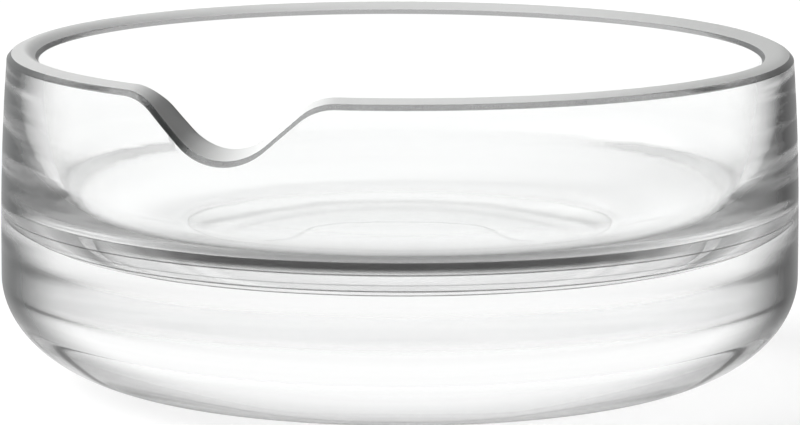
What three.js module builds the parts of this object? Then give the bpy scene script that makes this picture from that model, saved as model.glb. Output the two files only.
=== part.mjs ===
// A low bowl of thick clear glass, blown as one piece. It has a heavy solid base, pushed up a little in
// the middle from underneath, a rounded outer corner, a gently bellied wall, a deep cavity whose soft
// inside corner runs down a slope to the floor, and a polished rim with one smooth dip, where a spoon
// or a ladle can lie.
import * as THREE from 'three';

// Driving dimensions, in millimetres and degrees. Z points up from the table, and the front faces -Y.
const widestDiameter = 150;
const widestHeight = 27.8;
const rimDiameter = 147.4;
const rimHeight = 61.5;
const cornerHeight = 19.9;
const cornerFullness = 1.96;
const footDiameter = 96;
const hollowDiameter = 91;
const hollowDepth = 3.4;

// The cavity's wall meets the slope round its floor at the inside corner, which lies inside the mouth by
// cornerInset and above the floor by cornerRise. The valley is the lowest ring of the floor. Each reach is
// how far a curve keeps its first or last direction.
const mouthDiameter = 135.5;
const cavityDepth = 37.6;
const wallReach = 3.9;
const cornerInset = 4.5;
const cornerRise = 8.6;
const cornerSlope = 24.4;
const cornerReachAbove = 5.1;
const cornerReachBelow = 8.6;
const valleyDiameter = 81.2;
const valleyReach = 4.9;
const floorRise = 2.1;

const rimCrown = 1.16;
const rimCrownFullness = 1.35;
const rimInnerFall = 0.48;
const outerBevelWidth = 0.72;
const outerBevelHeight = 0.8;
const innerBevelWidth = 0.45;
const innerBevelHeight = 0.62;

const dipDirection = -25.5;
const dipDepthOutside = 11.1;
const dipDepthInside = 9.2;
const dipFloorRadius = 13;
const dipShoulderRadius = 10;
const dipFlankAngle = 41;

// How finely the curves are divided.
const roundSteps = 60;
const dipSteps = 26;
const hollowSteps = 5;
const cornerSteps = 10;
const wallSteps = 7;
const faceSteps = 6;
const cavityWallSteps = 10;
const cavitySlopeSteps = 7;
const cavityFloorSteps = 4;

const radians = Math.PI / 180;

// Radius of the outside wall at a height: widest at widestHeight and drawn in towards the rim.
function wallRadius(z) {
  const rise = Math.max(0, z - widestHeight) / (rimHeight - widestHeight);
  return (widestDiameter - (widestDiameter - rimDiameter) * rise ** 2) / 2;
}

// The cavity's outline in three smooth curves: down the wall to the inside corner, down the slope to the
// lowest ring of the floor, and over the floor's slight rise to its middle.
function cavityCurves() {
  const mouthRadius = mouthDiameter / 2;
  const valleyRadius = valleyDiameter / 2;
  const floorHeight = rimHeight - cavityDepth;
  const middleHeight = floorHeight + floorRise;
  const slope = cornerSlope * radians;
  const downTheSlope = new THREE.Vector2(-Math.cos(slope), -Math.sin(slope));
  const corner = new THREE.Vector2(mouthRadius - cornerInset, floorHeight + cornerRise);
  const valley = new THREE.Vector2(valleyRadius, floorHeight);
  const wall = new THREE.CubicBezierCurve(
    new THREE.Vector2(mouthRadius, rimHeight),
    new THREE.Vector2(mouthRadius, rimHeight - wallReach),
    corner.clone().addScaledVector(downTheSlope, -cornerReachAbove),
    corner,
  );
  const slopeToFloor = new THREE.CubicBezierCurve(
    corner,
    corner.clone().addScaledVector(downTheSlope, cornerReachBelow),
    new THREE.Vector2(valleyRadius + valleyReach, floorHeight),
    valley,
  );
  const floor = new THREE.CubicBezierCurve(
    valley,
    new THREE.Vector2(valleyRadius / 2, floorHeight),
    new THREE.Vector2(valleyRadius / 2, middleHeight),
    new THREE.Vector2(0, middleHeight),
  );
  return { wall, slopeToFloor, floor };
}

const cavity = cavityCurves();

// How far along the cavity's wall curve, from 0 at the mouth to 1 at the corner, it has a height.
function cavityWallTurnAt(z) {
  let above = 0;
  let below = 1;
  for (let i = 0; i < 40; i += 1) {
    const middle = (above + below) / 2;
    if (cavity.wall.getPoint(middle).y > z) {
      above = middle;
    } else {
      below = middle;
    }
  }
  return above;
}

// The dip's outline is a round floor, two straight flanks and two round shoulders. This is how far it
// lies below the rim at a distance from its middle, measured round the bowl.
function dipFall(distance, depth) {
  const bends = dipFloorRadius + dipShoulderRadius;
  const shallowest = Math.acos(Math.max(0, 1 - depth / bends));
  const flank = Math.min(dipFlankAngle * radians, shallowest);
  const floorReach = dipFloorRadius * Math.sin(flank);
  const straightFall = depth - bends * (1 - Math.cos(flank));
  const shoulderStart = floorReach + straightFall / Math.tan(flank);
  const shoulderReach = dipShoulderRadius * Math.sin(flank);
  const past = Math.abs(distance);
  if (past < floorReach) {
    return depth - dipFloorRadius + Math.sqrt(dipFloorRadius ** 2 - past ** 2);
  }
  if (past < shoulderStart) {
    return depth - dipFloorRadius * (1 - Math.cos(flank)) - (past - floorReach) * Math.tan(flank);
  }
  const left = shoulderStart + shoulderReach - past;
  return left > 0 ? dipShoulderRadius - Math.sqrt(dipShoulderRadius ** 2 - left ** 2) : 0;
}

// Half of the angle that the dip takes up round the rim, with its two shoulders.
function dipHalfAngle() {
  const bends = dipFloorRadius + dipShoulderRadius;
  const shallowest = Math.acos(Math.max(0, 1 - dipDepthOutside / bends));
  const flank = Math.min(dipFlankAngle * radians, shallowest);
  const straightFall = dipDepthOutside - bends * (1 - Math.cos(flank));
  return (bends * Math.sin(flank) + straightFall / Math.tan(flank)) / (rimDiameter / 2);
}

// The bowl's outline at one direction, from the middle of the underside, up the outside, over the rim
// and down to the middle of the floor. The outer corner is a quarter of a superellipse, which is a circle
// at a fullness of 2. The rim's face is ground to a low ridge, which is a straight roof at a fullness of
// 1 and a round crown at 2. fromDip is the angle from the middle of the dip.
function outlineAt(fromDip) {
  const points = [];
  for (let i = 0; i <= hollowSteps; i += 1) {
    const across = i / hollowSteps;
    points.push(new THREE.Vector2((across * hollowDiameter) / 2, hollowDepth * (1 - across ** 2)));
  }
  for (let i = 0; i <= cornerSteps; i += 1) {
    const turn = (i / cornerSteps) * (Math.PI / 2);
    const up = Math.cos(turn) ** (2 / cornerFullness);
    const out = Math.sin(turn) ** (2 / cornerFullness);
    const reach = (widestDiameter - footDiameter) / 2;
    points.push(new THREE.Vector2(footDiameter / 2 + reach * out, cornerHeight * (1 - up)));
  }

  const outsideFall = dipFall((fromDip * rimDiameter) / 2, dipDepthOutside);
  const bevelFoot = rimHeight - outsideFall - outerBevelHeight;
  for (let i = 1; i <= wallSteps; i += 1) {
    const z = cornerHeight + ((bevelFoot - cornerHeight) * i) / wallSteps;
    points.push(new THREE.Vector2(wallRadius(z), z));
  }

  const insideFall = dipFall((fromDip * mouthDiameter) / 2, dipDepthInside);
  const innerEdgeHeight = rimHeight - rimInnerFall - insideFall;
  const mouthTurn = cavityWallTurnAt(innerEdgeHeight - innerBevelHeight);
  const mouth = cavity.wall.getPoint(mouthTurn);
  const outerEdge = new THREE.Vector2(wallRadius(bevelFoot) - outerBevelWidth, rimHeight - outsideFall);
  const innerEdge = new THREE.Vector2(mouth.x + innerBevelWidth, innerEdgeHeight);
  for (let i = 0; i <= faceSteps; i += 1) {
    const across = i / faceSteps;
    const point = outerEdge.clone().lerp(innerEdge, across);
    point.y += rimCrown * (1 - Math.abs(2 * across - 1) ** rimCrownFullness);
    points.push(point);
  }

  for (let i = 0; i <= cavityWallSteps; i += 1) {
    points.push(cavity.wall.getPoint(mouthTurn + (1 - mouthTurn) * (i / cavityWallSteps)));
  }
  for (let i = 1; i <= cavitySlopeSteps; i += 1) {
    points.push(cavity.slopeToFloor.getPoint(i / cavitySlopeSteps));
  }
  for (let i = 1; i <= cavityFloorSteps; i += 1) {
    points.push(cavity.floor.getPoint(i / cavityFloorSteps));
  }
  return points;
}

// Directions round the bowl, finer across the dip than elsewhere.
function directions() {
  const half = dipHalfAngle();
  const angles = [];
  for (let i = 0; i < dipSteps; i += 1) {
    angles.push(-half + (2 * half * i) / dipSteps);
  }
  for (let i = 0; i < roundSteps; i += 1) {
    angles.push(half + ((2 * Math.PI - 2 * half) * i) / roundSteps);
  }
  return angles;
}

// Joins the outlines round the axis into one closed skin with its faces pointing out.
function bowlGeometry() {
  const angles = directions();
  const outlines = angles.map(outlineAt);
  const rings = outlines[0].length - 2;
  const positions = [];
  const underMiddle = 0;
  const floorMiddle = 1;
  const ring = (column, row) => 2 + (column % angles.length) * rings + row;
  positions.push(0, 0, outlines[0][0].y);
  positions.push(0, 0, outlines[0][rings + 1].y);
  angles.forEach((angle, column) => {
    const azimuth = dipDirection * radians + angle;
    for (let row = 0; row < rings; row += 1) {
      const point = outlines[column][row + 1];
      positions.push(point.x * Math.sin(azimuth), -point.x * Math.cos(azimuth), point.y);
    }
  });

  const faces = [];
  for (let column = 0; column < angles.length; column += 1) {
    faces.push(underMiddle, ring(column + 1, 0), ring(column, 0));
    for (let row = 0; row < rings - 1; row += 1) {
      const here = ring(column, row);
      const above = ring(column, row + 1);
      const next = ring(column + 1, row);
      const nextAbove = ring(column + 1, row + 1);
      faces.push(here, next, nextAbove, here, nextAbove, above);
    }
    faces.push(floorMiddle, ring(column, rings - 1), ring(column + 1, rings - 1));
  }

  const geometry = new THREE.BufferGeometry();
  geometry.setAttribute('position', new THREE.Float32BufferAttribute(positions, 3));
  geometry.setIndex(faces);
  geometry.computeVertexNormals();
  return geometry;
}

const clearGlass = new THREE.MeshStandardMaterial({
  color: 0xf4f8f7,
  metalness: 0,
  roughness: 0.03,
  transparent: true,
  opacity: 0.35,
});

const bowl = new THREE.Mesh(bowlGeometry(), clearGlass);
bowl.name = 'bowl';

const glassBowl = new THREE.Group();
glassBowl.add(bowl);

export default glassBowl;
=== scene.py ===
# %% [markdown]
# A thick glass bowl with a dip in its rim.
#
# The real bowl is one gather of clear glass: a heavy solid base with a shallow hollow underneath, a
# thick wall that bellies out a little, and a ground and polished rim with one smooth dip for a spoon.
# Glass has no colour of its own to paint. What the eye sees is its surroundings, bent and mirrored by every
# wall, so this lesson spends its care on the shape of both skins and on what stands round the bowl: a white
# table, a bright wall behind it and a dimmer room on the camera's side. The dark edges and bands in the
# glass are painted reflections, and the table seen through the glass carries a painted shadow.

# %% Load the imported bowl
import math

import bpy
import numpy as np
from mathutils import Matrix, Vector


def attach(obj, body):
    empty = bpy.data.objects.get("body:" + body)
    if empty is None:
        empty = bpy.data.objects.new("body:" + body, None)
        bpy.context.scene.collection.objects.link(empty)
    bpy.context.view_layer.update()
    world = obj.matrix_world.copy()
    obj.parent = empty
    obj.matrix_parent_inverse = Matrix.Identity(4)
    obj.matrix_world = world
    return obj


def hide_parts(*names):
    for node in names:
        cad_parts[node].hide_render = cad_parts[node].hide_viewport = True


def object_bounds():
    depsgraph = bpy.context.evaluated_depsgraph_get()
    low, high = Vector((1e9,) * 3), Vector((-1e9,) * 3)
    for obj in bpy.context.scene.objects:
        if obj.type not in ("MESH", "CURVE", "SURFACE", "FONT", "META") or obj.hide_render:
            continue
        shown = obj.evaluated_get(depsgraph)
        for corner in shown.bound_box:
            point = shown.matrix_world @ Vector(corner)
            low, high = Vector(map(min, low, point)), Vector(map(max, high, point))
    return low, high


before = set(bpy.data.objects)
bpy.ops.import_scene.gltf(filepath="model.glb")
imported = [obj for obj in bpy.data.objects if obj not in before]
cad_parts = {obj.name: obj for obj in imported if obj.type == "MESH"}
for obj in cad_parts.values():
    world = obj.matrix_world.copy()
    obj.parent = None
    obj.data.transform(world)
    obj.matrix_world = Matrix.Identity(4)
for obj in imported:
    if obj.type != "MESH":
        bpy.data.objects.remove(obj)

cad_low, cad_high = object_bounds()
print("CAD box in metres:", [round(v, 4) for v in (*cad_low, *cad_high)])

# %% [markdown]
# The sizes.
#
# A glass worker thinks in millimetres and Blender in metres, so one name turns the first into the
# second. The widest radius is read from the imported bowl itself, whose facets lie a hair inside the true
# round, so that this finer skin stays inside its box. Every other size is the one that the maker would
# chalk on the bench. The photo hardly shows two of them, the depth of the hollow underneath and the
# rise in the middle of the floor, so these are the least certain.

# %% Sizes of the outside
mm = 0.001

widest_radius = min(-cad_low.x, -cad_low.y, cad_high.x, cad_high.y)
widest_height = 27.8 * mm
rim_draw_in = 1.3 * mm
rim_radius = widest_radius - rim_draw_in
rim_height = 61.5 * mm
corner_height = 19.9 * mm
corner_fullness = 1.96
foot_radius = 48 * mm
hollow_radius = 45.5 * mm
hollow_depth = 3.4 * mm
print("the bowl is", round(2 * widest_radius / mm, 2), "mm wide")
print("the outer edge of its rim is", round(rim_height / mm, 1), "mm high")

# %% Sizes of the cavity
mouth_radius = 67.75 * mm
cavity_depth = 37.6 * mm
wall_reach = 3.9 * mm
corner_inset = 4.5 * mm
corner_rise = 8.6 * mm
corner_slope = math.radians(24.4)
corner_reach_above = 5.1 * mm
corner_reach_below = 8.6 * mm
valley_radius = 40.6 * mm
valley_reach = 4.9 * mm
floor_rise = 2.1 * mm
print("the cavity is", round(cavity_depth / mm, 1), "mm deep")

# %% Sizes of the rim and its dip
rim_crown = 1.16 * mm
rim_crown_fullness = 1.35
rim_inner_fall = 0.48 * mm
outer_bevel_width = 0.72 * mm
outer_bevel_height = 0.8 * mm
inner_bevel_width = 0.45 * mm
inner_bevel_height = 0.62 * mm
edge_softness = 0.16 * mm

dip_direction = math.radians(-25.5)
dip_depth_outside = 11.1 * mm
dip_depth_inside = 9.2 * mm
dip_floor_radius = 13 * mm
dip_shoulder_radius = 10 * mm
dip_flank_angle = math.radians(41)
print("the dip is", round(dip_depth_outside / mm, 1), "mm deep at the outer edge")

# %% [markdown]
# The outline.
#
# A bowl like this is drawn as half a section: up the outside, over the rim and down the inside. The
# outside corner is part of a superellipse, which is a circle made a little squarer, and the inside is
# two cubic curves that meet at the corner with one slope, because those are the lines that a blowing
# mould gives. The dip lowers the rim by an amount that depends on the distance from its middle: a
# round floor, straight flanks and round shoulders, all of them arcs and lines.

# %% Curves of the section
curve_points = 301


def bezier(start, leave, arrive, end):
    """Points of a cubic curve, finely divided."""
    t = np.linspace(0, 1, curve_points)[:, None]
    start, leave, arrive, end = (np.array(p, dtype=float) for p in (start, leave, arrive, end))
    s = 1 - t
    return s**3 * start + 3 * s * s * t * leave + 3 * s * t * t * arrive + t**3 * end


def wall_radius(z):
    """Radius of the outside wall at a height."""
    rise = np.maximum(0, z - widest_height) / (rim_height - widest_height)
    return widest_radius - (widest_radius - rim_radius) * rise**2


def cavity_line():
    """The cavity's outline from its mouth to the middle of its floor."""
    floor_height = rim_height - cavity_depth
    corner = np.array([mouth_radius - corner_inset, floor_height + corner_rise])
    down_the_slope = np.array([-math.cos(corner_slope), -math.sin(corner_slope)])
    middle_height = floor_height + floor_rise
    wall = bezier(
        (mouth_radius, rim_height),
        (mouth_radius, rim_height - wall_reach),
        corner - down_the_slope * corner_reach_above,
        corner,
    )
    slope = bezier(
        corner,
        corner + down_the_slope * corner_reach_below,
        (valley_radius + valley_reach, floor_height),
        (valley_radius, floor_height),
    )
    floor = bezier(
        (valley_radius, floor_height),
        (valley_radius / 2, floor_height),
        (valley_radius / 2, middle_height),
        (0, middle_height),
    )
    return np.vstack([wall, slope[1:], floor[1:]])


cavity_outline = cavity_line()
cavity_run = np.concatenate([[0], np.cumsum(np.hypot(*np.diff(cavity_outline, axis=0).T))])


def cavity_at(run):
    """Points of the cavity's outline at a distance along it from the mouth."""
    across = np.interp(run, cavity_run, cavity_outline[:, 0])
    return np.stack([across, np.interp(run, cavity_run, cavity_outline[:, 1])], axis=-1)


def cavity_run_at(z):
    """The distance along the cavity's outline at which it has a height."""
    wall = cavity_outline[:, 1] > rim_height - cavity_depth + corner_rise
    return np.interp(-z, -cavity_outline[wall, 1], cavity_run[wall])


print("cavity outline is", round(cavity_run[-1] / mm, 1), "mm long")


# %% The dip
def dip_fall(distance, depth):
    """How far the dip lies below the rim at a distance from its middle, measured round the bowl."""
    bends = dip_floor_radius + dip_shoulder_radius
    flank = min(dip_flank_angle, math.acos(max(0.0, 1 - depth / bends)))
    floor_reach = dip_floor_radius * math.sin(flank)
    straight_fall = depth - bends * (1 - math.cos(flank))
    shoulder_start = floor_reach + straight_fall / math.tan(flank)
    shoulder_reach = dip_shoulder_radius * math.sin(flank)
    past = abs(distance)
    if past < floor_reach:
        return depth - dip_floor_radius + math.sqrt(dip_floor_radius**2 - past**2)
    if past < shoulder_start:
        return depth - dip_floor_radius * (1 - math.cos(flank)) - (past - floor_reach) * math.tan(flank)
    left = shoulder_start + shoulder_reach - past
    return dip_shoulder_radius - math.sqrt(dip_shoulder_radius**2 - left**2) if left > 0 else 0.0


def dip_half_angle():
    """Half of the angle that the dip takes up round the rim, with its two shoulders."""
    bends = dip_floor_radius + dip_shoulder_radius
    flank = min(dip_flank_angle, math.acos(max(0.0, 1 - dip_depth_outside / bends)))
    straight_fall = dip_depth_outside - bends * (1 - math.cos(flank))
    return (bends * math.sin(flank) + straight_fall / math.tan(flank)) / rim_radius


print("the dip spans", round(2 * math.degrees(dip_half_angle()), 1), "degrees of the rim")


# %% [markdown]
# One section at a time.
#
# Each direction round the bowl has its own section, because the dip changes the rim. Every section has
# the same number of points, so that neighbouring sections join up into a grid. A polished edge is
# never quite sharp, so each corner of the rim is turned by a tiny curve. That curve catches the fine
# dark and bright lines that say "this is an edge".

# %% Straight lines and soft turns
bevel_steps = 3
turn_steps = 4


def between(start, end):
    """Points of a straight line, kept clear of its ends by the softness of an edge."""
    start, end = np.array(start), np.array(end)
    trim = edge_softness / np.hypot(*(end - start))
    t = np.linspace(trim, 1 - trim, bevel_steps + 1)[:, None]
    return start + (end - start) * t


def turned(before, corner, after):
    """Points that turn a corner softly, without the two ends."""
    t = np.linspace(0, 1, turn_steps + 2)[1:-1, None]
    return (1 - t) ** 2 * before + 2 * t * (1 - t) * np.array(corner) + t**2 * after


# %% The underside and the ground face
hollow_points = 25
corner_points = 45
face_points = 25


def underside():
    """The hollow and the outer corner, from the middle of the underside to the wall."""
    across = np.linspace(0, 1, hollow_points)
    hollow = np.stack([across * hollow_radius, hollow_depth * (1 - across**2)], axis=-1)
    turn = np.linspace(0, math.pi / 2, corner_points)
    up, out = np.cos(turn) ** (2 / corner_fullness), np.sin(turn) ** (2 / corner_fullness)
    corner_radius = foot_radius + (widest_radius - foot_radius) * out
    corner = np.stack([corner_radius, corner_height * (1 - up)], axis=-1)
    return np.vstack([hollow, corner])


def ground_line(outer_edge, inner_edge):
    """The rim's face between its two edges, with its low ridge."""
    trim = edge_softness / np.hypot(*(inner_edge - outer_edge))
    across = trim + (1 - 2 * trim) * np.linspace(0, 1, face_points)[:, None]
    face = outer_edge + (inner_edge - outer_edge) * across
    face[:, 1:] += rim_crown * (1 - np.abs(2 * across - 1) ** rim_crown_fullness)
    return face


# %% The section in one direction
wall_points = 40
cavity_points = 96


def section(from_dip):
    """The outline from the middle of the underside to the middle of the cavity's floor."""
    outside_fall = dip_fall(from_dip * rim_radius, dip_depth_outside)
    bevel_foot = rim_height - outside_fall - outer_bevel_height
    z = np.linspace(corner_height, bevel_foot - edge_softness, wall_points + 1)[1:]
    wall = np.stack([wall_radius(z), z], axis=-1)

    inside_fall = dip_fall(from_dip * mouth_radius, dip_depth_inside)
    inner_edge_height = rim_height - rim_inner_fall - inside_fall
    mouth_run = cavity_run_at(inner_edge_height - inner_bevel_height)
    bevel_corner = (wall_radius(bevel_foot), bevel_foot)
    outer_edge = np.array([wall_radius(bevel_foot) - outer_bevel_width, rim_height - outside_fall])
    mouth_corner = cavity_at(mouth_run)
    inner_edge = np.array([mouth_corner[0] + inner_bevel_width, inner_edge_height])

    outer_bevel = between(bevel_corner, outer_edge)
    face = ground_line(outer_edge, inner_edge)
    inner_bevel = between(inner_edge, mouth_corner)
    cavity = cavity_at(np.linspace(mouth_run + edge_softness, cavity_run[-1], cavity_points))

    blown_outside = np.vstack([underside(), wall])
    outer_turn = np.vstack([
        turned(wall[-1], bevel_corner, outer_bevel[0]),
        outer_bevel,
        turned(outer_bevel[-1], outer_edge, face[0]),
    ])
    inner_turn = np.vstack([
        turned(face[-1], inner_edge, inner_bevel[0]),
        inner_bevel,
        turned(inner_bevel[-1], mouth_corner, cavity[0]),
    ])
    return [blown_outside, outer_turn, face, inner_turn, cavity]


print("points on the outside, outer bevel, face, inner bevel and cavity:", [len(p) for p in section(0.0)])


# %% [markdown]
# The skin.
#
# The sections are joined into one closed skin by hand, in mesh code. A lathe or Screw modifier would
# be shorter, but it can't make the dip. The directions are closer together across the dip than round
# the rest, where the shape changes slowly. Glass shows every facet twice, once for each skin, so the
# steps are fine and the shading is smooth.

# %% Directions round the bowl
dip_directions = 96
round_directions = 240


def directions():
    """Angles from the middle of the dip, finer across it."""
    half = dip_half_angle()
    across = np.linspace(-half, half, dip_directions, endpoint=False)
    rest = np.linspace(half, 2 * math.pi - half, round_directions, endpoint=False)
    return np.concatenate([across, rest])


def shorter_way(angles):
    """The same angles, measured the shorter way round from the middle of the dip."""
    return np.minimum(abs(angles), 2 * math.pi - angles)


def face_ways(angles):
    """The way in which the rim's face looks in each direction, as if it had no crown."""
    past = shorter_way(angles)
    outside = np.array([dip_fall(angle * rim_radius, dip_depth_outside) for angle in past])
    inside = np.array([dip_fall(angle * mouth_radius, dip_depth_inside) for angle in past])
    rise = np.gradient(-(outside + inside) / 2, angles * (rim_radius + mouth_radius) / 2)
    azimuth = angles + dip_direction
    ways = np.stack([-rise * np.cos(azimuth), -rise * np.sin(azimuth), np.ones(len(angles))], axis=-1)
    return ways / np.linalg.norm(ways, axis=1, keepdims=True)


# %% Points and faces of the skin
def skin_points(sections, angles):
    """The two middle points, and then the points of every section from the underside to the floor."""
    rings = sections[:, 1:-1]
    azimuth = (angles + dip_direction)[:, None]
    radius, height = rings[..., 0], rings[..., 1]
    grid = np.stack([radius * np.sin(azimuth), -radius * np.cos(azimuth), height], axis=-1)
    middles = [(0, 0, sections[0, 0, 1]), (0, 0, sections[0, -1, 1])]
    return np.vstack([middles, grid.reshape(-1, 3)])


def skin_faces(columns, rows):
    """Quads between neighbouring sections, and triangles round the two middle points."""
    here = 2 + np.arange(columns)[:, None] * rows + np.arange(rows)
    there = np.roll(here, -1, axis=0)
    quads = np.stack([here[:, :-1], there[:, :-1], there[:, 1:], here[:, 1:]], axis=-1)
    faces = quads.reshape(-1, 4).tolist()
    faces += [(0, b, a) for a, b in zip(here[:, 0].tolist(), there[:, 0].tolist())]
    faces += [(1, a, b) for a, b in zip(here[:, -1].tolist(), there[:, -1].tolist())]
    return faces


# %% Marks on the skin
# Which of the section's five parts carry each mark, from the outside to the cavity.
marked_parts = {
    "outside": (1, 0, 0, 0, 0),
    "ground": (0, 0, 1, 0, 0),
    "bevelled": (0, 1, 0, 1, 0),
    "cavity": (0, 0, 0, 0, 1),
}
straight_up = (0, 0, 1)


def mark_skin(mesh, outline, angles):
    """Marks the parts of the section on the mesh, and the way in which the rim's face looks."""
    for name, marks in marked_parts.items():
        along = np.concatenate([np.full(len(part), float(mark)) for part, mark in zip(outline, marks)])
        values = np.concatenate([along[[0, -1]], np.tile(along[1:-1], len(angles))])
        mesh.attributes.new(name, "FLOAT", "POINT").data.foreach_set("value", values)
    rows = len(np.vstack(outline)) - 2
    ways = np.repeat(face_ways(angles), rows, axis=0)
    ways = np.vstack([[straight_up, straight_up], ways]).ravel()
    mesh.attributes.new("face_way", "FLOAT_VECTOR", "POINT").data.foreach_set("vector", ways)


# %% Build the skin
def glass_skin(name):
    """The bowl's fine mesh as an object, with its faces pointing out."""
    angles = directions()
    outlines = [section(angle) for angle in shorter_way(angles)]
    sections = np.array([np.vstack(outline) for outline in outlines])
    columns, points = sections.shape[:2]
    mesh = bpy.data.meshes.new(name)
    mesh.from_pydata(skin_points(sections, angles).tolist(), [], skin_faces(columns, points - 2))
    mesh.update()
    mesh.shade_smooth()
    mark_skin(mesh, outlines[0], angles)
    skin = bpy.data.objects.new(name, mesh)
    bpy.context.scene.collection.objects.link(skin)
    return skin


glass_bowl = glass_skin("glass_bowl")
print("the skin has", len(glass_bowl.data.vertices), "points and", len(glass_bowl.data.polygons), "faces")


# %% [markdown]
# Shader maths as Python.
#
# A node tree is a list of sums, so it reads best as sums. The small class below wraps one output
# socket. Adding or multiplying two of them makes the Math node and wires it up, and a plain number on
# either side works as well. Every other kind of node comes from one method of the tree's own class,
# and the few that come up again and again have a short name of their own. From here on, a name that
# holds two values holds the start and the end of a soft step.

# %% Wires
class Wire:
    """An output socket that takes part in ordinary Python sums."""

    def __init__(self, tree, socket):
        self.tree = tree
        self.socket = socket

    def __add__(self, other):
        return self.tree.math("ADD", self, other)

    __radd__ = __add__

    def __sub__(self, other):
        return self.tree.math("SUBTRACT", self, other)

    def __rsub__(self, other):
        return self.tree.math("SUBTRACT", other, self)

    def __mul__(self, other):
        return self.tree.math("MULTIPLY", self, other)

    __rmul__ = __mul__


# %% Trees
class Tree:
    """A node tree that is filled by calls."""

    def __init__(self, node_tree):
        self.nodes = node_tree.nodes
        self.links = node_tree.links
        self.nodes.clear()

    def add(self, kind, settings=None, inputs=None, output=0):
        """Adds a node: first its settings, then the values or wires of its sockets."""
        node = self.nodes.new(kind)
        for name, value in (settings or {}).items():
            setattr(node, name, value)
        for name, value in (inputs or {}).items():
            if isinstance(value, Wire):
                self.links.new(value.socket, node.inputs[name])
            else:
                node.inputs[name].default_value = value
        return Wire(self, node.outputs[output]) if node.outputs else None

    def math(self, operation, first, second=0.0):
        return self.add("ShaderNodeMath", {"operation": operation}, {0: first, 1: second})

    def larger(self, first, second):
        return self.math("MAXIMUM", first, second)

    def off_from(self, value, middle):
        """How far a value is from a middle, on either side."""
        return self.math("ABSOLUTE", value - middle)

    def vector(self, operation, first, second=(0, 0, 0), output="Vector"):
        return self.add("ShaderNodeVectorMath", {"operation": operation}, {0: first, 1: second}, output)

    def part_of(self, vector, axis):
        return self.add("ShaderNodeSeparateXYZ", inputs={0: vector}, output=axis)

    def level_part(self, vector):
        """A vector without its height."""
        return self.vector("MULTIPLY", vector, (1, 1, 0))

    def mixed_colour(self, share, first, second):
        return self.add("ShaderNodeMix", {"data_type": "RGBA"}, {0: share, 6: first, 7: second}, output=2)

    def marked(self, name, output="Fac"):
        return self.add("ShaderNodeAttribute", {"attribute_name": name}, output=output)

    def soft_step(self, value, start, end):
        """0 before start, 1 after end and a smooth change between. Start may be the higher of the two."""
        settings = {"interpolation_type": "SMOOTHSTEP"}
        inputs = {"Value": value, "From Min": start, "From Max": end}
        return self.add("ShaderNodeMapRange", settings, inputs)


def new_material(name):
    """An empty material and its tree."""
    material = bpy.data.materials.new(name)
    material.use_nodes = True
    return material, Tree(material.node_tree)


# %% [markdown]
# The glass, and how to ask about a point on it.
#
# The real bowl has three finishes. The blown skin is fire polished and clear. The rim's face is ground
# and left satin, so it shows the lamp as paint would. The narrow bevels on both its sides are polished
# again, and look like dark lines. One skin carries all three, so the finishes are told apart by the
# marks that the mesh was given, and by a few plain questions: is the point seen from inside the glass,
# how high is it, how far from the axis, and how far does the skin there turn away from the eye? The
# Layer Weight node answers the last one, and a blend of one half leaves its answer as it is.

# %% Questions about a point
glass_ior = 1.5
plain_blend = 0.5


class Point:
    """What the finishes ask about a point of the skin."""

    def __init__(self, tree):
        self.place = tree.add("ShaderNodeTexCoord", output="Object")
        self.across = tree.part_of(self.place, "X")
        self.height = tree.part_of(self.place, "Z")
        self.reach = tree.vector("LENGTH", tree.level_part(self.place), output="Value")
        self.from_inside = tree.add("ShaderNodeNewGeometry", output="Backfacing")
        self.turned_away = tree.add("ShaderNodeLayerWeight", inputs={"Blend": plain_blend}, output="Facing")
        self.face_way = tree.marked("face_way", "Vector")
        self.outside = tree.marked("outside")
        self.ground = tree.marked("ground")
        self.bevelled = tree.marked("bevelled")
        self.cavity = tree.marked("cavity")


# %% [markdown]
# The clear skin.
#
# Blown glass is smooth, but never as even as ground glass. Faint waves run round the wall, longer
# round the bowl than they are high, and a noise that is squeezed in height draws them as a bump far
# too small to model. The base of a thick bowl throws light to and fro inside, which in the photo has
# melted into an even white, so bounces inside the base are blurred a little. The cavity's soft corner
# is blurred a little as well, where the real one has no sharp image either.

# %% Clear skin
clear_colour = (0.99, 0.995, 0.993, 1)
clear_roughness = 0.02
wave_counts_per_metre = (16, 16, 330)
wave_detail = 2.0
wave_height = 1 * mm
wave_strength = 0.012
wave_roughness = 0.012
base_blur = 0.16
base_blur_starts = 23 * mm, 15 * mm
corner_blur = 0.2
corner_blur_starts = 26 * mm, 30 * mm
corner_blur_ends = 44 * mm, 36 * mm


def blowing_waves(tree, point):
    """A slow noise that runs round the bowl."""
    stretched = tree.vector("MULTIPLY", point.place, wave_counts_per_metre)
    noise = {"Vector": stretched, "Scale": 1.0, "Detail": wave_detail}
    return tree.add("ShaderNodeTexNoise", inputs=noise, output="Fac")


def clear_skin(tree, point, waves):
    """Fire-polished glass that lets the light through."""
    base = tree.soft_step(point.height, *base_blur_starts)
    corner = tree.soft_step(point.height, *corner_blur_starts) * point.cavity
    corner = corner * tree.soft_step(point.height, *corner_blur_ends)
    inside_roughness = point.from_inside * (clear_roughness + base_blur * base)
    outside_roughness = (1 - point.from_inside) * (corner_blur * corner)
    bump = {"Height": waves, "Strength": wave_strength, "Distance": wave_height}
    return tree.add("ShaderNodeBsdfPrincipled", inputs={
        "Base Color": clear_colour,
        "Roughness": inside_roughness + outside_roughness + wave_roughness * waves,
        "IOR": glass_ior,
        "Transmission Weight": 1.0,
        "Normal": tree.add("ShaderNodeBump", inputs=bump),
    })
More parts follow.
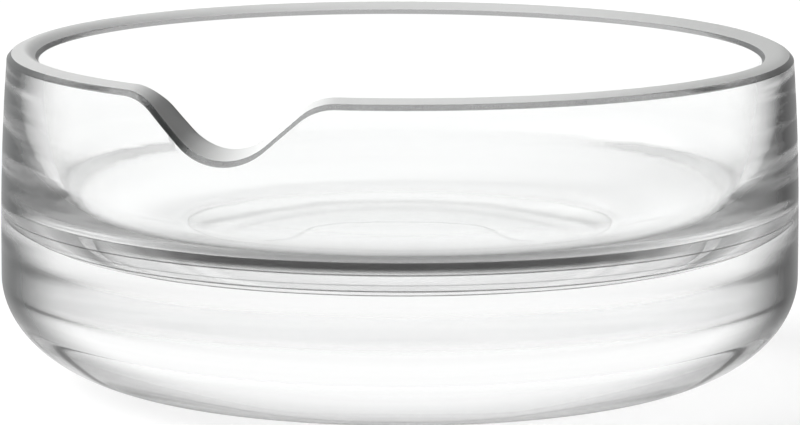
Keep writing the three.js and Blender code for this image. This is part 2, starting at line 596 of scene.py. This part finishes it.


# %% [markdown]
# The ground face of the rim.
#
# A grinding wheel leaves tiny pits, which scatter the light. So the face is a pale matt grey with a fine
# grain, and has no mirror image at all. Towards the right end the grey is painted darker, a painted shade
# that stands in for the lamp's light falling off away from the left. The photo shows it darker towards
# the right end, for a reason that can't be seen, so the grey is simply darker there. The face's low ridge
# is in the mesh. The photo shows hardly any shading across it, so the shading mostly takes the direction
# that the face would have without the ridge.

# %% Ground face
pale_ground = (0.7, 0.705, 0.7, 1)
# The face's colour where the painted shade is full, at the right end.
painted_shade_ground = (0.52, 0.525, 0.52, 1)
painted_shade_across = 20 * mm, 72 * mm
grain_share = 0.2
grain_count_per_metre = 900.0
grain_detail = 3.0
ground_roughness = 0.34
grain_roughness = 0.1
face_evenness = 0.97


def ground_face(tree, point):
    """Satin glass with a fine grain, and a painted shade towards the right end."""
    noise = {"Vector": point.place, "Scale": grain_count_per_metre, "Detail": grain_detail}
    grain = tree.add("ShaderNodeTexNoise", inputs=noise, output="Fac")
    # Painted shade: the grey darkens towards the right end, mixed with the grain's random tone.
    darker = tree.soft_step(point.across, *painted_shade_across) * (1 - grain_share) + grain_share * grain
    to_world = {"vector_type": "NORMAL", "convert_from": "OBJECT", "convert_to": "WORLD"}
    without_ridge = tree.add("ShaderNodeVectorTransform", to_world, {0: point.face_way})
    with_ridge = tree.add("ShaderNodeNewGeometry", output="Normal")
    directions = {0: face_evenness, 4: with_ridge, 5: without_ridge}
    even = tree.add("ShaderNodeMix", {"data_type": "VECTOR"}, directions, output=1)
    return tree.add("ShaderNodeBsdfPrincipled", inputs={
        "Base Color": tree.mixed_colour(darker, pale_ground, painted_shade_ground),
        "Roughness": ground_roughness + grain_roughness * grain,
        "IOR": glass_ior,
        "Specular IOR Level": 0.0,
        "Normal": tree.vector("NORMALIZE", even),
    })


# %% [markdown]
# The dark edges.
#
# Photographers of glass often stand black cards beside it, which show in the glass as dark edges wherever
# its skin turns away from the eye. The dark edges in the photo look like that. Cards in the room would be
# right for one view only, so the edge is a painted dark reflection here, mixed in by how far the skin turns
# away. This is a stand-in, and not what real glass does. It deepens faster on the base than on the wall,
# and fades out towards the foot. The waves of the blowing break it up into streaks. The polished bevels
# carry the same painted reflection, darkest at the two ends of the rim and on the flank of the dip that
# looks to the right, as in the photo.

# %% Painted dark reflections
edge_dark_colour = (0.06, 0.063, 0.063, 1)
inside_dark_colour = (0.02, 0.021, 0.021, 1)
dark_roughness = 0.3
dark_gloss = 0.04


def painted_dark_reflection(tree, point):
    """A painted dark reflection: what the black cards, and the shade that the glass would mirror, look like
    in the glass.
    """
    return tree.add("ShaderNodeBsdfPrincipled", inputs={
        "Base Color": tree.mixed_colour(point.from_inside, edge_dark_colour, inside_dark_colour),
        "Roughness": dark_roughness,
        "IOR": glass_ior,
        "Specular IOR Level": dark_gloss,
    })


# %% Dark edges of the outside
wall_edge_depth = 0.9
wall_edge_turn = 0.42, 0.9
streak_depth = 0.8
streak_levels = 0.35, 0.65
streak_turn = 0.52, 0.82
base_edge_depth = 0.95
base_edge_turn = 0.46, 0.8
foot_edge_share = 0.12
foot_edge_heights = 3 * mm, 18 * mm
wall_to_base = 34 * mm, 24 * mm

bevel_depth = 0.6
bevel_end_depth = 0.38
bevel_ends = 58 * mm, 72 * mm
bevel_flank_lean = 0.2, 0.6


def outside_edge(tree, point, waves):
    """How dark the painted reflection of the cards makes the outside skin where it turns away from the eye.
    """
    wall = tree.soft_step(point.turned_away, *wall_edge_turn) * wall_edge_depth
    streaks = (tree.soft_step(waves, *streak_levels) - 0.5) * streak_depth
    wall = wall + streaks * tree.soft_step(point.turned_away, *streak_turn)
    above_foot = tree.soft_step(point.height, *foot_edge_heights)
    base = tree.soft_step(point.turned_away, *base_edge_turn) * base_edge_depth
    base = base * (foot_edge_share + (1 - foot_edge_share) * above_foot)
    lower = tree.soft_step(point.height, *wall_to_base)
    return wall * (1 - lower) + base * lower


def bevel_edge(tree, point):
    """How dark the painted reflection makes the polished bevels."""
    at_ends = tree.soft_step(tree.math("ABSOLUTE", point.across), *bevel_ends)
    on_flank = tree.soft_step(tree.part_of(point.face_way, "X"), *bevel_flank_lean)
    return bevel_depth + bevel_end_depth * tree.larger(at_ends, on_flank)


# %% [markdown]
# The dark bands inside.
#
# Seen through the wall, the slope round the floor is a mirror: the light meets it from inside the glass at
# so flat an angle that none gets out. In the photo it shows one broad dark band and a few thin ones, and
# the wall above the corner is dark as well, higher towards the sides. The same painted dark reflection
# draws them as rings, painted shade in place of what the mirror would show, only where the skin is seen
# from inside the glass. Each ring lies at a distance from the axis that was traced back through the wall
# from its row in the photo, so the rings fit that view by choice. The inside edge of the foot ring
# underneath is painted as one thin dark line, where it shows through the floor.

# %% Painted dark bands of the cavity
broad_band_depth = 0.98
broad_band_inner = 55.5 * mm, 59.8 * mm
broad_band_outer = 63.4 * mm, 62.4 * mm
broad_band_turn = 0.81, 0.71
broad_band_least = 0.1

corner_band_depth = 0.55
corner_band_rise = 114 * mm
corner_band_top = 12.5 * mm, 6 * mm
corner_band_foot = 32.5 * mm, 35 * mm
corner_band_turn = 0.44, 0.36

# Distance from the axis, half width and depth of each thin painted band.
thin_bands = (
    (56.4 * mm, 0.7 * mm, 0.75),
    (51.0 * mm, 0.6 * mm, 0.45),
    (47.2 * mm, 0.9 * mm, 0.85),
    (43.2 * mm, 1.6 * mm, 0.98),
)

foot_line_depth = 0.3
foot_line_reach = 45.2 * mm
foot_line_edges = 0.5 * mm, 0.1 * mm
foot_line_heights = 3 * mm, 1 * mm


def cavity_bands(tree, point):
    """How dark the painted bands make the cavity's skin, seen from inside the glass."""
    broad = tree.soft_step(point.reach, *broad_band_inner) * tree.soft_step(point.reach, *broad_band_outer)
    facing = tree.soft_step(point.turned_away, *broad_band_turn)
    bands = broad * broad_band_depth * (broad_band_least + (1 - broad_band_least) * facing)
    corner = tree.soft_step(point.height - point.turned_away * corner_band_rise, *corner_band_top)
    corner = corner * tree.soft_step(point.height, *corner_band_foot)
    corner = corner * tree.soft_step(point.turned_away, *corner_band_turn)
    bands = bands + corner_band_depth * corner
    for middle, half_width, depth in thin_bands:
        bands = bands + tree.soft_step(tree.off_from(point.reach, middle), half_width, 0.0) * depth
    return bands


def foot_line(tree, point):
    """A painted dark line at the inside edge of the foot ring, seen from inside the glass."""
    line = tree.soft_step(tree.off_from(point.reach, foot_line_reach), *foot_line_edges)
    return line * tree.soft_step(point.height, *foot_line_heights) * foot_line_depth


# %% [markdown]
# The finishes together.
#
# A Mix Shader lays the painted dark reflections over the clear skin by the sum of all the dark parts, and a
# second one puts the satin face in where the mesh is marked as ground. Seen from inside the glass, the
# satin face is left clear, because its own grey would show through the wall.

# %% Glass of the bowl
def clear_glass():
    """The bowl's one material, with its three finishes and the painted dark reflections."""
    material, tree = new_material("clear_glass")
    point = Point(tree)
    waves = blowing_waves(tree, point)
    seen_outside = 1 - point.from_inside
    # Painted dark reflections: card edges and bevels outside, dark bands and the foot line seen from
    # inside.
    dark = outside_edge(tree, point, waves) * point.outside + bevel_edge(tree, point) * point.bevelled
    dark_inside = cavity_bands(tree, point) * point.cavity + foot_line(tree, point) * point.outside
    dark = dark * seen_outside + dark_inside * point.from_inside
    skin = {0: dark, 1: clear_skin(tree, point, waves), 2: painted_dark_reflection(tree, point)}
    clear = tree.add("ShaderNodeMixShader", inputs=skin)
    finishes = {0: point.ground * seen_outside, 1: clear, 2: ground_face(tree, point)}
    surface = tree.add("ShaderNodeMixShader", inputs=finishes)
    tree.add("ShaderNodeOutputMaterial", inputs={"Surface": surface})
    print("the glass is made of", len(tree.nodes), "nodes")
    return material


glass_bowl.data.materials.append(clear_glass())
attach(glass_bowl, "root")
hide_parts("bowl")

# %% [markdown]
# The table.
#
# Glass can't be judged without what lies behind it. In the photo the bowl stands on a white sheet that runs
# up into a white wall, and its base is full of that white. A white that comes from a lamp would also flood
# the satin rim, so the sheet glows only for rays that show it to the eye, straight or through the glass.
# Seen straight it is one even white. Seen through the glass its glow is turned down under the front of the
# bowl, a painted shadow of the bowl, and towards the sides, a painted shade, which gives the base its soft
# tones. Its matt part still takes the bowl's shadow. It is clear from below, so that the bowl's underside
# can be looked at.

# %% A sheet to stand on
table_size = 6.0
bpy.ops.mesh.primitive_plane_add(size=table_size, location=(0, 0, 0))
table = bpy.context.object
table.name = "table"
print("the table is", table_size, "m wide")


def ray_is(tree, kind):
    """1 for rays of one kind, and 0 for others."""
    return tree.add("ShaderNodeLightPath", output=f"Is {kind} Ray")


def seen_not_lit(tree):
    """1 for rays that show the room to the camera, straight or by way of the glass, and 0 for others."""
    shows = ray_is(tree, "Camera") + ray_is(tree, "Glossy") + ray_is(tree, "Transmission")
    scatterings = tree.add("ShaderNodeLightPath", output="Diffuse Depth")
    return tree.math("MINIMUM", shows, 1.0) * tree.math("LESS_THAN", scatterings, 0.5)


# %% White of the sheet, and its painted shadow
table_colour = (0.2, 0.2, 0.2, 1)
table_glow = 0.86
front_shadow_glow = 0.35
front_shadow_ends = -45 * mm, -2 * mm
under_bowl_ends = 70 * mm, 85 * mm
side_shade_glow = 0.6
side_angles = math.radians(100), math.radians(60)
near_sheet = 160 * mm, 100 * mm


def pale_sheet():
    """A matt sheet that glows for the eye only, with a painted shadow under the front of the bowl and
    painted shade at the sides, both seen only through the glass.
    """
    material, tree = new_material("pale_table")
    place = tree.add("ShaderNodeTexCoord", output="Object")
    reach = tree.vector("LENGTH", place, output="Value")
    out_of_shadow = tree.soft_step(reach, *under_bowl_ends)
    out_of_shadow = tree.larger(tree.soft_step(tree.part_of(place, "Y"), *front_shadow_ends), out_of_shadow)
    backwards = tree.part_of(tree.vector("NORMALIZE", place), "Y")
    behind = tree.soft_step(backwards, *(math.cos(angle) for angle in side_angles))
    behind = tree.larger(behind, tree.soft_step(reach, *near_sheet))
    # Painted shadow under the front of the bowl and painted shade at the sides; camera rays see the full
    # glow.
    glow = (front_shadow_glow + (1 - front_shadow_glow) * out_of_shadow) * (side_shade_glow + (1 - side_shade_glow) * behind)
    glow = tree.larger(glow, ray_is(tree, "Camera")) * table_glow * seen_not_lit(tree)
    glowing = tree.add("ShaderNodeEmission", inputs={"Color": (1, 1, 1, 1), "Strength": glow})
    matt = tree.add("ShaderNodeBsdfDiffuse", inputs={"Color": table_colour})
    sheet = tree.add("ShaderNodeAddShader", inputs={0: matt, 1: glowing})
    from_below = tree.add("ShaderNodeNewGeometry", output="Backfacing")
    nothing = tree.add("ShaderNodeBsdfTransparent")
    surface = tree.add("ShaderNodeMixShader", inputs={0: from_below, 1: sheet, 2: nothing})
    tree.add("ShaderNodeOutputMaterial", inputs={"Surface": surface})
    return material


table.data.materials.append(pale_sheet())

# %% [markdown]
# The room.
#
# Two lights are at work. The glass shows a bright wall behind the bowl and a bright ceiling over it,
# which fade into a dimmer room. The satin rim is lit by one soft lamp high on the left, which leaves the
# flank of the dip that looks away from it dark. Both are sums on the direction of a ray, so that no
# lamp object has to be seen in the glass.

# %% Bright and dim parts of the room
room_white = 1.02
room_dim = 0.6
wall_edges = math.radians(105), math.radians(60)
wall_top = math.radians(48), math.radians(30)
ceiling_edges = math.radians(66), math.radians(54)
ceiling_lean = math.radians(28)

lamp_direction = (-0.76, 0.08, 0.645)
lamp_edges = 0.88, 0.975
lamp_strength = 10.8
lamp_fill = 0.03


def towards(tree, looking, direction):
    """How nearly a ray looks in a direction, as a cosine."""
    return tree.vector("DOT_PRODUCT", looking, direction, output="Value")


def room_strength(tree):
    """How bright the room is in the direction of a ray."""
    looking = tree.add("ShaderNodeTexCoord", output="Generated")
    backwards = tree.part_of(tree.vector("NORMALIZE", tree.level_part(looking)), "Y")
    wall = tree.soft_step(backwards, *(math.cos(angle) for angle in wall_edges))
    wall = wall * tree.soft_step(tree.part_of(looking, "Z"), *(math.sin(angle) for angle in wall_top))
    ceiling_middle = (0, -math.sin(ceiling_lean), math.cos(ceiling_lean))
    ceiling = towards(tree, looking, ceiling_middle)
    ceiling = tree.soft_step(ceiling, *(math.cos(angle) for angle in ceiling_edges))
    bright = 1 - (1 - wall) * (1 - ceiling)
    shown = room_dim + (room_white - room_dim) * bright
    lamp = tree.soft_step(towards(tree, looking, lamp_direction), *lamp_edges)
    lighting = lamp_fill + lamp_strength * lamp
    seen = seen_not_lit(tree)
    return shown * seen + lighting * (1 - seen)


world = bpy.data.worlds.new("studio")
bpy.context.scene.world = world
world.use_nodes = True
room = Tree(world.node_tree)
strength = room_strength(room)
background = room.add("ShaderNodeBackground", inputs={"Color": (1, 1, 1, 1), "Strength": strength})
room.add("ShaderNodeOutputWorld", inputs={"Surface": background})
print("the room is made of", len(room.nodes), "nodes")

# %% [markdown]
# The camera.
#
# A long lens from a little above the rim keeps both sides of the bowl nearly upright. The camera looks
# first at the middle of the rim, and then turns until that point lies where it does in the photo. The
# turns are made as matrices, because the three angles of one Euler turn affect each other.

# %% Where the camera stands
camera_distance = 1.125
camera_elevation = math.radians(7.40)
camera_roll = math.radians(0.14)
pixels_per_metre = 5.33 / mm
photo_width = 800
photo_height = 425
rim_centre_x = 399.9
rim_centre_y = 51.7
sensor_width = 36
nearest_seen = 0.05
farthest_seen = 50

focal_pixels = pixels_per_metre * camera_distance
camera_data = bpy.data.cameras.new("camera")
camera_data.sensor_width = sensor_width
camera_data.lens = focal_pixels / photo_width * sensor_width
camera_data.clip_start = nearest_seen
camera_data.clip_end = farthest_seen
camera = bpy.data.objects.new("camera", camera_data)
bpy.context.scene.collection.objects.link(camera)
bpy.context.scene.camera = camera
camera.location = (
    0,
    -camera_distance * math.cos(camera_elevation),
    rim_height + camera_distance * math.sin(camera_elevation),
)
print("the lens is", round(camera_data.lens), "mm long")

# %% Where the camera looks
aim_down = math.atan((photo_height / 2 - rim_centre_y) / focal_pixels)
aim_left = math.atan((rim_centre_x - photo_width / 2) / focal_pixels)
pan = Matrix.Rotation(aim_left, 3, "Z")
tilt = Matrix.Rotation(math.pi / 2 - camera_elevation - aim_down, 3, "X")
roll = Matrix.Rotation(camera_roll, 3, "Z")
camera.rotation_euler = (pan @ tilt @ roll).to_euler()
print("the camera looks down by", round(math.degrees(camera_elevation + aim_down), 2), "degrees")

# %% [markdown]
# How the picture is made.
#
# Light crosses four skins on its way through the bowl, two in each wall, and is thrown back many times
# in the base. So the rays get more bounces than Blender gives by itself, because a ray that runs out of
# them is black.

# %% Bounces and colours
glass_bounces = 24
mirror_bounces = 16

scene = bpy.context.scene
scene.view_settings.view_transform = "Standard"
scene.cycles.max_bounces = glass_bounces
scene.cycles.transmission_bounces = glass_bounces
scene.cycles.glossy_bounces = mirror_bounces
print("a ray may bounce", glass_bounces, "times in the glass")
